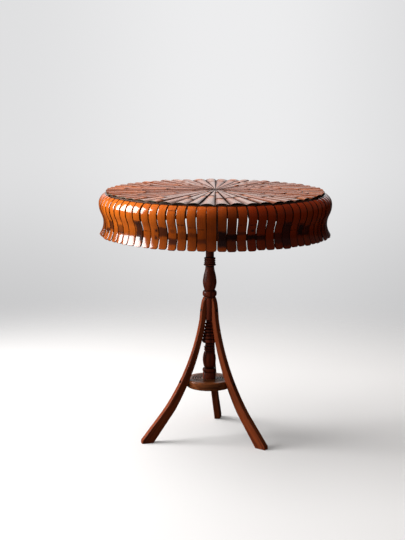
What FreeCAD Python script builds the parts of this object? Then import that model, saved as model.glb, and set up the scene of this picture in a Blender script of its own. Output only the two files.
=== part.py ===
import FreeCAD, Part
import math
import os
import re

import Sketcher
from FreeCAD import Vector

# Accent table, in millimetres, with +Z up.
# The origin is on the floor under the middle of the round top.
# A board carries radial split-bamboo slats and, round its edge, a skirt of bent bamboo strips.
# The turned post stands a little to one side of the middle, on three sabre legs and a low disc.

# Driving sizes: name, number, meaning
SIZES = [
    ("table_height", 720.0, "floor to the crowns of the slats"),
    ("board_thickness", 24.0, "round board under the slats"),
    ("slat_height", 7.0, "board to the crown of a slat"),
    ("slat_count", 52, "slats round the top"),
    ("slat_overhang", 1.7, "outer end of a slat past the upper end of a strip"),
    ("slat_point", 9.0, "middle of the top to the cut-off point of a slat"),
    ("slat_gap", 0.8, "seam between two slats"),
    ("culm_radius", 42.0, "outside of the bamboo that the slats are split from"),
    ("crown_flat_count", 4, "flats that follow the round side of a slat"),
    ("strip_count", 76, "bent strips in the skirt"),
    ("strip_width", 24.2, "width of a strip"),
    ("strip_thickness", 3.5, "thickness of a strip"),
    ("strip_corner", 5.0, "cut corner at the lower end of a strip"),
    ("bulge_radius", 328.0, "middle of the top to the widest part of the skirt"),
    ("bulge_curve", 31.0, "radius of the bend over the edge of the board"),
    ("bend_angle", 72.0, "turn of that bend, in degrees"),
    ("bend_flat_count", 3, "flats that follow that bend"),
    ("waist_inset", 13.0, "how far the waist draws in from the widest part"),
    ("waist_drop", 53.0, "widest part down to the waist"),
    ("flare_out", 11.0, "how far the lower end flares out from the waist"),
    ("flare_drop", 32.0, "waist down to the lower end"),
    ("flare_flat_count", 3, "flats that follow the curve from the waist out to the lower end"),
    ("skirt_angle", -1.6, "direction of one of the strips seen from above, in degrees"),
    ("hoop_height", 17.0, "hoop inside the waist"),
    ("hoop_thickness", 5.0, "wall of that hoop"),
    ("post_offset", 14.6, "axis of the post to the left of the middle of the top"),
    ("tenon_radius", 9.0, "round tenon at the foot of the post"),
    ("neck_radius", 11.8, "plain neck of the post"),
    ("collar_radius", 15.9, "upper rings of the collar"),
    ("collar_foot_radius", 17.1, "lowest ring of the collar"),
    ("collar_ring_count", 4, "rings of the collar"),
    ("collar_ring_height", 6.1, "one ring of the collar"),
    ("groove_depth", 2.0, "cuts between rings"),
    ("vase_top_radius", 12.4, "upper vase, top"),
    ("vase_radius", 19.7, "upper vase, widest part"),
    ("vase_foot_radius", 14.8, "upper vase, foot"),
    ("vase_length", 71.5, "upper vase, from collar to bead"),
    ("vase_swell", 23.0, "foot of the upper vase up to its widest part"),
    ("vase_flat_count", 2, "short cones over its widest part, and as many under it"),
    ("bead_radius", 20.1, "bead over the legs"),
    ("bead_height", 18.0, "the same bead along the post"),
    ("bead_edge", 7.0, "upright edge of the same bead"),
    ("joint_radius", 16.6, "plain part of the post that the legs are fixed to"),
    ("leg_seat", 14.0, "axis of the post to the flats that the legs lie on"),
    ("joint_length", 66.0, "plain part along the post"),
    ("cone_top_radius", 9.4, "ringed cone, top"),
    ("cone_foot_radius", 19.0, "ringed cone, lowest ring"),
    ("cone_ring_count", 6, "rings of the cone"),
    ("cone_length", 56.0, "ringed cone along the post"),
    ("lip_radius", 21.3, "lip under the ringed cone"),
    ("lip_height", 12.0, "the same lip along the post"),
    ("lip_edge", 3.0, "upright edge of the same lip"),
    ("post_waist_radius", 12.2, "narrow part under the lip"),
    ("post_waist_height", 8.0, "the same narrow part along the post"),
    ("pair_radius", 16.0, "two rings over the lower vase"),
    ("pair_height", 12.0, "the same two rings along the post"),
    ("lower_vase_radius", 18.9, "lower vase, widest part"),
    ("lower_vase_end_radius", 13.8, "lower vase, both ends"),
    ("lower_vase_length", 58.1, "the same vase along the post"),
    ("lower_vase_flat_count", 3, "short cones that make up the lower vase"),
    ("foot_ring_radius", 19.4, "ring over the foot of the post"),
    ("foot_ring_height", 9.0, "the same ring along the post"),
    ("foot_ring_edge", 3.0, "upright edge of the same ring"),
    ("foot_radius", 18.3, "foot of the post on the disc"),
    ("foot_height", 18.4, "the same foot along the post"),
    ("disc_top", 173.6, "floor to the top of the disc"),
    ("disc_thickness", 22.3, "disc between the legs"),
    ("disc_radius", 66.0, "disc, widest part"),
    ("disc_bevel", 3.0, "bevel round the upper edge of the disc"),
    ("disc_flat", 65.5, "axis of the post to the flats under the legs"),
    ("leg_width", 17.0, "leg across"),
    ("leg_depth", 14.5, "leg at the foot of the joint, outer face to inner face"),
    ("leg_top_depth", 4.6, "its blunt upper end, outer face to inner face"),
    ("leg_count", 3, "legs round the post"),
    ("back_leg_angle", 81.9, "direction of the back leg seen from above, in degrees"),
    ("leg_top_gap", 1.0, "upper end of a leg to the bead over it"),
    ("leg_outer_curve", 615.0, "radius of the outer edge of a leg, from the joint to the ankle"),
    ("leg_inner_curve", 700.0, "radius of its inner edge"),
    ("ankle_height_share", 0.2535, "height of the ankle in the height of the joint"),
    ("ankle_outer_share", 0.62, "way from the joint out to the toe that the ankle has gone"),
    ("ankle_inner_share", 0.593, "the same way out to the heel"),
    ("foot_reach", 206.0, "axis of the post to the toe of a leg"),
    ("foot_length", 33.7, "toe to heel on the floor"),
    ("toe_height", 8.8, "upright front of a toe"),
    ("block_width", 50.0, "square block round the top of the neck"),
    ("block_share", 0.657, "way from the cleat down to the collar that the block goes"),
    ("block_bevel", 8.0, "bevel round the lower edge of the block"),
    ("cleat_length", 200.0, "cleat under the board"),
    ("cleat_width", 110.0, "the same cleat across"),
    ("cleat_thickness", 22.0, "the same cleat, top to bottom"),
    ("cleat_bevel", 6.0, "bevel round the lower edge of the cleat"),
    ("screw_radius", 2.0, "shank of a screw"),
    ("screw_head_radius", 4.0, "head of a screw"),
    ("screw_head_height", 1.8, "the same head along the screw"),
    ("screw_sides", 6, "flats round a screw and its hole"),
    ("leg_screw_length", 18.0, "shank of the upper screw of a leg"),
    ("leg_screw_drop", 38.1, "bead down to the upper screw of a leg"),
    ("disc_screw_length", 36.0, "shank of the lower screw of a leg"),
    ("disc_screw_drop", 4.1, "top of the disc down to the lower screw of a leg"),
    ("disc_screw_seat", 84.0, "axis of the post to the seat of its head"),
    ("fit_clearance", 0.1, "gap round a tenon, a screw or a notch"),
    ("overrun", 2.0, "how far a cut runs past what it cuts"),
]
NAMES = {name for name, number, meaning in SIZES}

# Sizes that follow from the driving ones
FORMULAS = {
    "board_top": "table_height - slat_height",
    "board_bottom": "board_top - board_thickness",
    "slat_angle": "360 / slat_count",
    "strip_angle": "360 / strip_count",
    "slat_reach": "strip_top_x + slat_overhang",
    "slat_half": "slat_reach * tan(slat_angle / 2) - slat_gap / 2",
    "slat_point_half": "slat_point * tan(slat_angle / 2) - slat_gap / 2",
    "slat_cut_half": "slat_half + overrun",
    "crown_angle": "asin(slat_cut_half / culm_radius) / 1 deg",
    "bulge_height": "board_top - bulge_curve",
    "bend_middle": "bulge_radius - bulge_curve",
    "bed_curve": "bulge_curve - strip_thickness",
    "bed_x": "bend_middle + bed_curve * cos(bend_angle / 2)",
    "bed_z": "bulge_height + bed_curve * sin(bend_angle / 2)",
    "strip_top_x": "bend_middle + bulge_curve * cos(bend_angle)",
    "strip_top_z": "bulge_height + bulge_curve * sin(bend_angle)",
    "strip_top_inner_x": "bend_middle + bed_curve * cos(bend_angle)",
    "strip_top_inner_z": "bulge_height + bed_curve * sin(bend_angle)",
    "board_reach": "bed_x + (bed_z - board_bottom) * (bulge_radius - strip_thickness - bed_x)"
    " / (bed_z - bulge_height)",
    "waist_radius": "bulge_radius - waist_inset",
    "waist_height": "bulge_height - waist_drop",
    "flare_radius": "waist_radius + flare_out",
    "skirt_bottom": "waist_height - flare_drop",
    "flare_curve": "(flare_drop ^ 2 + flare_out ^ 2) / (2 * flare_out)",
    "flare_angle": "2 * atan(flare_out / flare_drop) / 1 deg",
    "flare_middle": "waist_radius + flare_curve",
    "inner_flare_curve": "flare_curve + strip_thickness",
    "draw_in_angle": "2 * atan(waist_inset / waist_drop) / 1 deg",
    "hoop_radius": "waist_radius - strip_thickness",
    "cleat_bottom": "board_bottom - cleat_thickness",
    "block_height": "block_share * (cleat_bottom - collar_height)",
    "block_bottom": "cleat_bottom - block_height",
    "collar_height": "collar_bottom + collar_ring_count * collar_ring_height",
    "collar_bottom": "bead_top + vase_length",
    "bead_top": "joint_top + bead_height",
    "vase_middle": "bead_top + vase_swell",
    "vase_upper_curve": (
        "((collar_bottom - vase_middle) ^ 2 + (vase_radius - vase_top_radius) ^ 2)"
        " / (2 * (vase_radius - vase_top_radius))"
    ),
    "vase_lower_curve": (
        "(vase_swell ^ 2 + (vase_radius - vase_foot_radius) ^ 2) / (2 * (vase_radius - vase_foot_radius))"
    ),
    "vase_top_turn": "asin((collar_bottom - vase_middle) / vase_upper_curve) / 1 deg",
    "vase_foot_turn": "asin(vase_swell / vase_lower_curve) / 1 deg",
    "joint_top": "joint_bottom + joint_length",
    "joint_bottom": "cone_bottom + cone_length",
    "cone_bottom": "lip_bottom + lip_height",
    "lip_bottom": "pair_top + post_waist_height",
    "pair_top": "pair_bottom + pair_height",
    "pair_bottom": "foot_ring_top + lower_vase_length",
    "pair_edge": "pair_height / 4",
    "foot_ring_top": "foot_ring_bottom + foot_ring_height",
    "foot_ring_bottom": "disc_top + foot_height",
    "disc_bottom": "disc_top - disc_thickness",
    "lower_vase_half": "lower_vase_length / 2",
    "lower_vase_middle": "foot_ring_top + lower_vase_half",
    "lower_vase_curve": (
        "(lower_vase_half ^ 2 + (lower_vase_radius - lower_vase_end_radius) ^ 2)"
        " / (2 * (lower_vase_radius - lower_vase_end_radius))"
    ),
    "lower_vase_turn": "asin(lower_vase_half / lower_vase_curve) / 1 deg",
    "leg_face": "leg_seat + leg_depth",
    "leg_top": "joint_top - leg_top_gap",
    "leg_shoulder": "leg_top - leg_top_depth",
    "leg_taper_share": "(leg_depth - leg_top_depth) / (leg_shoulder - joint_bottom)",
    "heel_reach": "foot_reach - foot_length",
    "ankle_height": "ankle_height_share * joint_bottom",
    "ankle_reach": "leg_face + ankle_outer_share * (foot_reach - leg_face)",
    "ankle_inner_reach": "leg_seat + ankle_inner_share * (heel_reach - leg_seat)",
    "leg_screw_height": "joint_top - leg_screw_drop",
    "disc_screw_height": "disc_top - disc_screw_drop",
    "leg_screw_seat": "leg_face - leg_taper_share * (leg_screw_height + head_hole - joint_bottom)",
    "leg_screw_tip": "leg_screw_seat - leg_screw_length",
    "disc_screw_tip": "disc_screw_seat - disc_screw_length",
    "screw_hole": "screw_radius + fit_clearance",
    "head_hole": "screw_head_radius + fit_clearance",
}

# Legs in the order of their directions, turning left from the back one
LEG_NAMES = ("back_leg", "left_leg", "right_leg")

doc = FreeCAD.newDocument("accent_table")


def make_sheet():
    """Put every driving size in a cell of its own, under its own name."""
    table = doc.addObject("Spreadsheet::Sheet", "Sizes")
    for row, (name, number, meaning) in enumerate(SIZES, start=1):
        table.set(f"A{row}", str(number))
        table.setAlias(f"A{row}", name)
        table.set(f"B{row}", meaning)
    doc.recompute()
    return table


sheet = make_sheet()


def bound(text):
    """Turn words for sizes into references to the cells that hold them."""

    def cell(match):
        word = match.group(0)
        if word in FORMULAS:
            return f"({bound(FORMULAS[word])})"
        return f"Sizes.{word}" if word in NAMES else word

    return re.sub(r"[a-z_]+", cell, text)


def size(text):
    """The present value of a size or of a sum of sizes."""
    return float(sheet.evalExpression(bound(text)))


def origin_item(body, role):
    """One of the three planes or axes that every body has of its own."""
    return next(item for item in body.Origin.OriginFeatures if item.Role == role)


def new_body(name):
    body = doc.addObject("PartDesign::Body", name)
    body.Label = name
    return body


def new_sketch(body, name, role, lift="0"):
    """An empty sketch on one of the body's planes, lifted off it along its normal."""
    sketch = body.newObject("Sketcher::SketchObject", f"{body.Name}_{name}")
    sketch.AttachmentSupport = [(origin_item(body, role), "")]
    sketch.MapMode = "FlatFace"
    sketch.setExpression("AttachmentOffset.Base.z", bound(lift))
    return sketch


def pin_point(sketch, geometry, end, corner):
    """Hold one end of a line or arc at a place given in named sizes."""
    for kind, axis, text in (("DistanceX", -2, corner[0]), ("DistanceY", -1, corner[1])):
        here = size(text)
        if text == "0":
            sketch.addConstraint(Sketcher.Constraint("PointOnObject", geometry, end, axis))
        elif here < 0:
            index = sketch.addConstraint(Sketcher.Constraint(kind, geometry, end, -1, 1, -here))
            sketch.setExpression(f"Constraints[{index}]", bound(f"-({text})"))
        else:
            index = sketch.addConstraint(Sketcher.Constraint(kind, -1, 1, geometry, end, here))
            sketch.setExpression(f"Constraints[{index}]", bound(text))


def arc_between(start, end, radius, side):
    """The smaller arc between two points, with its middle on the left (1) or right (-1) of the way."""
    chord = end - start
    middle = (start + end) * 0.5
    reach = math.sqrt(max(radius**2 - (chord.Length / 2) ** 2, 0))
    across = Vector(-chord.y, chord.x, 0).normalize()
    centre = middle + across * (side * reach)
    first, last = (start, end) if side > 0 else (end, start)
    angles = [math.atan2(point.y - centre.y, point.x - centre.x) for point in (first, last)]
    circle = Part.Circle(centre, Vector(0, 0, 1), radius)
    return Part.ArcOfCircle(circle, angles[0], angles[1])


def closed_outline(sketch, corners):
    """A closed outline through corners held in named sizes.

    A corner is (across, up), or (across, up, radius, side) where an arc leads to the next corner.
    """
    points = [Vector(size(corner[0]), size(corner[1]), 0) for corner in corners]
    ends = []
    for index, corner in enumerate(corners):
        start, end = points[index], points[(index + 1) % len(points)]
        if len(corner) == 2:
            sketch.addGeometry(Part.LineSegment(start, end))
            ends.append((1, 2))
        else:
            sketch.addGeometry(arc_between(start, end, size(corner[2]), corner[3]))
            ends.append((1, 2) if corner[3] > 0 else (2, 1))
    for index, corner in enumerate(corners):
        following = (index + 1) % len(corners)
        joined = (index, ends[index][1], following, ends[following][0])
        sketch.addConstraint(Sketcher.Constraint("Coincident", *joined))
        pin_point(sketch, index, ends[index][0], corner)
        if len(corner) > 2:
            radius = sketch.addConstraint(Sketcher.Constraint("Radius", index, size(corner[2])))
            sketch.setExpression(f"Constraints[{radius}]", bound(corner[2]))


def arc_corners(across, up, radius, start, end, flat_count):
    """Corners of an arc followed in equal flats, with its middle and angles in named sizes."""
    count = round(size(flat_count))
    return [
        (
            f"{across} + {radius} * cos({start} + {step} * ({end} - {start}) / {flat_count})",
            f"{up} + {radius} * sin({start} + {step} * ({end} - {start}) / {flat_count})",
        )
        for step in range(count + 1)
    ]


def add_circle(sketch, across, up, radius):
    """A circle about a point held in named sizes."""
    centre = Vector(size(across), size(up), 0)
    index = sketch.addGeometry(Part.Circle(centre, Vector(0, 0, 1), size(radius)))
    pin_point(sketch, index, 3, (across, up))
    limit = sketch.addConstraint(Sketcher.Constraint("Radius", index, size(radius)))
    sketch.setExpression(f"Constraints[{limit}]", bound(radius))


def add_screw_outline(sketch, across, up, radius):
    """The many-sided outline of a screw or its hole, about a point held in named sizes."""
    count = round(size("screw_sides"))
    for index in range(count):
        turns = [f"({step} + 1 / 2) * 360 / screw_sides" for step in (index, (index + 1) % count)]
        corners = [(f"{across} + {radius} * cos({turn})", f"{up} + {radius} * sin({turn})") for turn in turns]
        points = [Vector(size(corner[0]), size(corner[1]), 0) for corner in corners]
        line = sketch.addGeometry(Part.LineSegment(*points))
        pin_point(sketch, line, 1, corners[0])
        if index > 0:
            sketch.addConstraint(Sketcher.Constraint("Coincident", line - 1, 2, line, 1))
    sketch.addConstraint(Sketcher.Constraint("Coincident", line, 2, line - count + 1, 1))


def revolve(body, sketch):
    """Turn a profile once round the upright axis."""
    feature = body.newObject("PartDesign::Revolution", f"{body.Name}_turning")
    feature.Profile = sketch
    feature.ReferenceAxis = (sketch, ["V_Axis"])
    feature.Angle = 360
    return feature


def pad(body, sketch, length, both_ways=False):
    """Thicken a sketch along its normal, or half of the length each way."""
    feature = body.newObject("PartDesign::Pad", f"{sketch.Name}_pad")
    feature.Profile = sketch
    feature.SideType = "Symmetric" if both_ways else "One side"
    feature.setExpression("Length", bound(length))
    return feature


def cut(body, sketch, length, both_ways=False):
    """Cut a sketch into the body against its normal, or half of the length each way."""
    feature = body.newObject("PartDesign::Pocket", f"{sketch.Name}_cut")
    feature.Profile = sketch
    feature.SideType = "Symmetric" if both_ways else "One side"
    feature.setExpression("Length", bound(length))
    return feature


def ring_of(body, count, originals):
    """Repeat features evenly round the body's upright axis, or the whole body for none."""
    feature = body.newObject("PartDesign::PolarPattern", f"{body.Name}_ring{len(body.Group)}")
    feature.TransformMode = "Features" if originals else "Whole shape"
    feature.Originals = originals
    feature.Axis = (origin_item(body, "Z_Axis"), [""])
    feature.Angle = 360
    feature.setExpression("Occurrences", bound(count))
    body.Tip = feature
    return feature


def edges_between(shape, low, high):
    """Names of the edges whose both ends lie in a box, given by its two corners."""
    box = FreeCAD.BoundBox(*low, *high)
    return [
        f"Edge{number}"
        for number, edge in enumerate(shape.Edges, start=1)
        if all(box.isInside(vertex.Point) for vertex in edge.Vertexes)
    ]


def bevel(body, base, edges, width):
    """Cut a bevel along named edges of the last feature."""
    feature = body.newObject("PartDesign::Chamfer", f"{body.Name}_bevel")
    feature.Base = (base, edges)
    feature.setExpression("Size", bound(width))
    return feature


def turn_about_upright(item, turn):
    """Turn a piece or an outline, seen from above, by an angle in named sizes."""
    item.Placement.Rotation.Axis = Vector(0, 0, 1)
    item.setExpression("Placement.Rotation.Angle", bound(turn))


def stand_on_post_axis(body, turn="0"):
    """Move a body from the middle of the top to the axis of the post, turned about it."""
    body.setExpression("Placement.Base.x", bound("-post_offset"))
    turn_about_upright(body, turn)


def many_sided(name, reach, level):
    """A level outline with one side for each strip, given by the reach of its sides."""
    outline = doc.addObject("Part::RegularPolygon", name)
    outline.setExpression("Polygon", bound("strip_count"))
    outline.setExpression("Circumradius", bound(f"({reach}) / cos(strip_angle / 2)"))
    outline.setExpression("Placement.Base.z", bound(level))
    turn_about_upright(outline, "skirt_angle + strip_angle / 2")
    return outline


def make_top_board():
    """Board under the slats, its edge cut in flats that the bent ends of the strips lie on."""
    levels = [
        ("board_reach", "board_bottom"),
        ("bed_x", "bed_z"),
        ("strip_top_inner_x", "strip_top_inner_z"),
        ("strip_top_inner_x", "board_top"),
    ]
    board = doc.addObject("Part::Loft", "top_board")
    board.Label = "top_board"
    board.Sections = [many_sided(f"board_{index}", *level) for index, level in enumerate(levels)]
    board.Solid = True
    board.Ruled = True
    return board


def make_top_slats():
    """Tapered pieces of split bamboo, round side up, laid on the board like rays."""
    body = new_body("top_slats")
    plan = new_sketch(body, "plan", "XY_Plane", "board_top")
    corners = [
        ("slat_point", "-slat_point_half"),
        ("slat_reach", "-slat_half"),
        ("slat_reach", "slat_half"),
        ("slat_point", "slat_point_half"),
    ]
    closed_outline(plan, corners)
    pad(body, plan, "slat_height + overrun")
    crown = new_sketch(body, "crown", "YZ_Plane", "slat_reach + overrun")
    middle = "table_height - culm_radius"
    corners = arc_corners("0", middle, "culm_radius", "(90 - crown_angle)", "(90 + crown_angle)", "crown_flat_count")
    corners += [
        ("-slat_cut_half", "table_height + 2 * overrun"),
        ("slat_cut_half", "table_height + 2 * overrun"),
    ]
    closed_outline(crown, corners)
    cut(body, crown, "slat_reach + 2 * overrun")
    ring_of(body, "slat_count", [])
    turn_about_upright(body, "slat_angle / 2")
    return body


def strip_corners():
    """Side view of a strip: down its outer face in flats, then up its inner face."""
    bend = ("bend_middle", "bulge_height", "bulge_curve", "bend_angle", "0", "bend_flat_count")
    flare = ("flare_middle", "waist_height", "flare_curve", "(180 - draw_in_angle)", "(180 + flare_angle)")
    corners = arc_corners(*bend)
    corners += arc_corners(*flare, "flare_flat_count")
    for turn in ("flare_angle", "flare_angle / 2"):
        across = f"flare_middle - inner_flare_curve * cos({turn})"
        corners.append((across, f"waist_height - inner_flare_curve * sin({turn})"))
    corners += [
        ("hoop_radius", "waist_height"),
        ("bulge_radius - strip_thickness", "bulge_height"),
        ("bed_x", "bed_z"),
        ("strip_top_inner_x", "strip_top_inner_z"),
    ]
    return corners


def make_skirt_strips():
    """Bamboo strips bent over the board's edge, in to a waist and out again."""
    body = new_body("skirt_strips")
    sketch = new_sketch(body, "side", "XZ_Plane")
    closed_outline(sketch, strip_corners())
    length = pad(body, sketch, "strip_width", both_ways=True)
    doc.recompute()
    half = size("strip_width") / 2
    low_z = size("skirt_bottom - strip_thickness")
    high_z = size("skirt_bottom + strip_thickness / 2")
    reach = size("flare_radius + overrun")
    margin = size("fit_clearance")
    ends = []
    for side in (-half, half):
        low = (0, side - margin, low_z)
        high = (reach, side + margin, high_z)
        ends += edges_between(length.Shape, low, high)
    bevel(body, length, ends, "strip_corner")
    ring_of(body, "strip_count", [])
    turn_about_upright(body, "skirt_angle")
    return body


def make_waist_hoop():
    """Hoop behind the strips that holds them in at the waist, with a flat for each strip."""
    rings = []
    for name, inset, margin in (("outside", "0", "0"), ("inside", "hoop_thickness", "overrun")):
        level = f"waist_height - hoop_height / 2 - {margin}"
        outline = many_sided(f"hoop_{name}_outline", f"hoop_radius - {inset}", level)
        ring = doc.addObject("Part::Extrusion", f"hoop_{name}")
        ring.Base = outline
        ring.Dir = Vector(0, 0, 1)
        ring.Solid = True
        ring.setExpression("LengthFwd", bound(f"hoop_height + 2 * {margin}"))
        rings.append(ring)
    hoop = doc.addObject("Part::Cut", "waist_hoop")
    hoop.Label = "waist_hoop"
    hoop.Base, hoop.Tool = rings
    return hoop


def rectangle(sketch, width, height):
    """A rectangle about the sketch's own middle."""
    corners = [
        (f"-({width}) / 2", f"-({height}) / 2"),
        (f"({width}) / 2", f"-({height}) / 2"),
        (f"({width}) / 2", f"({height}) / 2"),
        (f"-({width}) / 2", f"({height}) / 2"),
    ]
    closed_outline(sketch, corners)


def bored_slab(name, width, height, bottom, thickness, edge):
    """A slab with a bevelled lower edge, bored upright for the neck of the post."""
    body = new_body(name)
    plan = new_sketch(body, "plan", "XY_Plane", bottom)
    rectangle(plan, width, height)
    slab = pad(body, plan, thickness)
    doc.recompute()
    box = slab.Shape.BoundBox
    low = (box.XMin, box.YMin, box.ZMin)
    high = (box.XMax, box.YMax, box.ZMin)
    bevel(body, slab, edges_between(slab.Shape, low, high), edge)
    hole = new_sketch(body, "hole", "XY_Plane", f"{bottom} + {thickness} + overrun")
    add_circle(hole, "0", "0", "neck_radius + fit_clearance")
    cut(body, hole, f"{thickness} + 2 * overrun")
    stand_on_post_axis(body)
    return body


def make_top_cleat():
    """Cleat under the board; the top of the post passes through it."""
    return bored_slab(
        "top_cleat", "cleat_length", "cleat_width", "cleat_bottom", "cleat_thickness", "cleat_bevel"
    )


def make_post_block():
    """Square block under the cleat, bored for the neck of the post."""
    return bored_slab(
        "post_block", "block_width", "block_width", "block_bottom", "block_height", "block_bevel"
    )


def collar_corners():
    """Rings of the collar under the neck, from the top down, with grooves between them."""
    corners = []
    count = round(size("collar_ring_count"))
    for ring in range(count):
        radius = "collar_foot_radius" if ring == count - 1 else "collar_radius"
        if ring > 0:
            corners.append(("collar_radius - groove_depth", f"collar_height - {ring} * collar_ring_height"))
        corners.append((radius, f"collar_height - ({ring} + 1 / 2) * collar_ring_height"))
    return corners


def cone_corners():
    """Rings of the cone under the joint, each wider than the one above it."""
    corners = []
    step = "(cone_foot_radius - cone_top_radius) / (cone_ring_count - 1)"
    for ring in range(round(size("cone_ring_count"))):
        radius = f"cone_top_radius + {ring} * {step}"
        for end in (ring, ring + 1):
            corners.append((radius, f"joint_bottom - {end} * cone_length / cone_ring_count"))
    return corners


def rounded_edge(radius, top, height, edge):
    """Two corners of an upright edge in the middle of a turned form."""
    return [(radius, f"{top} - ({height} {sign} {edge}) / 2") for sign in ("-", "+")]


def make_centre_post():
    """Turned post in one piece, its top against the board and a tenon at its foot."""
    body = new_body("centre_post")
    sketch = new_sketch(body, "half_section", "XZ_Plane")
    upper_part = ("vase_radius - vase_upper_curve", "vase_middle", "vase_upper_curve", "vase_top_turn", "0")
    lower_part = ("vase_radius - vase_lower_curve", "vase_middle", "vase_lower_curve", "0", "(-vase_foot_turn)")
    lower_vase = ("lower_vase_radius - lower_vase_curve", "lower_vase_middle", "lower_vase_curve")
    corners = [
        ("0", "board_bottom"),
        ("neck_radius", "board_bottom"),
        ("neck_radius", "collar_height"),
    ]
    corners += collar_corners()
    corners += arc_corners(*upper_part, "vase_flat_count")[:-1]
    corners += arc_corners(*lower_part, "vase_flat_count")
    corners += rounded_edge("bead_radius", "bead_top", "bead_height", "bead_edge")
    corners += [
        ("joint_radius", "joint_top"),
        ("joint_radius", "joint_bottom"),
    ]
    corners += cone_corners()
    corners += rounded_edge("lip_radius", "cone_bottom", "lip_height", "lip_edge")
    corners += [
        ("post_waist_radius", "lip_bottom"),
        ("post_waist_radius", "pair_top"),
        ("pair_radius", "pair_top - pair_edge"),
        ("pair_radius - groove_depth", "pair_top - 2 * pair_edge"),
        ("pair_radius", "pair_bottom + pair_edge"),
    ]
    corners += arc_corners(*lower_vase, "lower_vase_turn", "(-lower_vase_turn)", "lower_vase_flat_count")
    corners += rounded_edge("foot_ring_radius", "foot_ring_top", "foot_ring_height", "foot_ring_edge")
    corners += [
        ("foot_radius", "foot_ring_bottom"),
        ("foot_radius", "disc_top"),
        ("tenon_radius", "disc_top"),
        ("tenon_radius", "disc_bottom"),
        ("0", "disc_bottom"),
    ]
    closed_outline(sketch, corners)
    revolve(body, sketch)
    flat = new_sketch(body, "flat", "YZ_Plane", "joint_radius + overrun")
    corners = [
        ("-joint_radius", "joint_bottom"),
        ("joint_radius", "joint_bottom"),
        ("joint_radius", "joint_top"),
        ("-joint_radius", "joint_top"),
    ]
    closed_outline(flat, corners)
    flat_cut = cut(body, flat, "joint_radius + overrun - leg_seat")
    hole = new_sketch(body, "screw_hole", "YZ_Plane", "leg_seat")
    add_screw_outline(hole, "0", "leg_screw_height", "screw_hole")
    hole_cut = cut(body, hole, "leg_seat - leg_screw_tip + fit_clearance")
    ring_of(body, "leg_count", [flat_cut, hole_cut])
    stand_on_post_axis(body, "back_leg_angle")
    return body


def make_stretcher_disc():
    """Turned disc that ties the legs, with a flat on its edge for each of them."""
    body = new_body("stretcher_disc")
    sketch = new_sketch(body, "half_section", "XZ_Plane")
    corners = [
        ("tenon_radius + fit_clearance", "disc_bottom"),
        ("disc_radius", "disc_bottom"),
        ("disc_radius", "disc_top - disc_bevel"),
        ("disc_radius - disc_bevel", "disc_top"),
        ("tenon_radius + fit_clearance", "disc_top"),
    ]
    closed_outline(sketch, corners)
    revolve(body, sketch)
    flat = new_sketch(body, "flat", "YZ_Plane", "disc_radius + overrun")
    corners = [
        ("-leg_width", "disc_bottom - overrun"),
        ("leg_width", "disc_bottom - overrun"),
        ("leg_width", "disc_top + overrun"),
        ("-leg_width", "disc_top + overrun"),
    ]
    closed_outline(flat, corners)
    flat_cut = cut(body, flat, "disc_radius + overrun - disc_flat")
    hole = new_sketch(body, "screw_hole", "YZ_Plane", "disc_flat")
    add_screw_outline(hole, "0", "disc_screw_height", "screw_hole")
    hole_cut = cut(body, hole, "disc_flat - disc_screw_tip + fit_clearance")
    ring_of(body, "leg_count", [flat_cut, hole_cut])
    stand_on_post_axis(body, "back_leg_angle")
    return body


def make_leg(index, name):
    """Sabre leg: tapered up the post, curved out to the ankle, cut level with the floor."""
    body = new_body(name)
    sketch = new_sketch(body, "side", "XZ_Plane")
    corners = [
        ("leg_seat + leg_top_depth", "leg_shoulder", "leg_top_depth", 1),
        ("leg_seat", "leg_top"),
        ("leg_seat", "joint_bottom", "leg_inner_curve", 1),
        ("ankle_inner_reach", "ankle_height"),
        ("heel_reach", "0"),
        ("foot_reach", "0"),
        ("foot_reach", "toe_height"),
        ("ankle_reach", "ankle_height", "leg_outer_curve", -1),
        ("leg_face", "joint_bottom"),
    ]
    closed_outline(sketch, corners)
    pad(body, sketch, "leg_width", both_ways=True)
    notch = new_sketch(body, "notch", "XZ_Plane")
    corners = [
        ("0", "disc_bottom - fit_clearance"),
        ("disc_flat", "disc_bottom - fit_clearance"),
        ("disc_flat", "disc_top + fit_clearance"),
        ("0", "disc_top + fit_clearance"),
    ]
    closed_outline(notch, corners)
    cut(body, notch, "leg_width + 2 * overrun", both_ways=True)
    for screw in ("leg_screw", "disc_screw"):
        hole = new_sketch(body, f"{screw}_hole", "YZ_Plane", f"{screw}_seat + overrun")
        add_screw_outline(hole, "0", f"{screw}_height", "screw_hole")
        cut(body, hole, f"{screw}_seat + 2 * overrun")
        seat = new_sketch(body, f"{screw}_head_seat", "YZ_Plane", "foot_reach")
        add_screw_outline(seat, "0", f"{screw}_height", "head_hole")
        cut(body, seat, f"foot_reach - {screw}_seat")
    stand_on_post_axis(body, f"back_leg_angle + {index} * 360 / leg_count")
    return body


def make_leg_screws():
    """Screws: one through each leg into the post and one into the disc."""
    body = new_body("leg_screws")
    rods = []
    for screw in ("leg_screw", "disc_screw"):
        shank = new_sketch(body, f"{screw}_shank", "YZ_Plane", f"{screw}_tip")
        add_screw_outline(shank, "0", f"{screw}_height", "screw_radius")
        rods.append(pad(body, shank, f"{screw}_length"))
        head = new_sketch(body, f"{screw}_head", "YZ_Plane", f"{screw}_seat")
        add_screw_outline(head, "0", f"{screw}_height", "screw_head_radius")
        rods.append(pad(body, head, "screw_head_height"))
    ring_of(body, "leg_count", rods)
    stand_on_post_axis(body, "back_leg_angle")
    return body


def check(piece):
    """Stop unless every object built and the piece is one or more sound solids."""
    for item in [piece, *piece.OutListRecursive]:
        if {"Invalid", "Error"} & set(item.State):
            raise RuntimeError(f"{item.Name}: {item.State}")
    if piece.Shape.isNull() or not piece.Shape.isValid() or not piece.Shape.Solids:
        raise RuntimeError(f"{piece.Label}: no sound solid")


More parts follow.
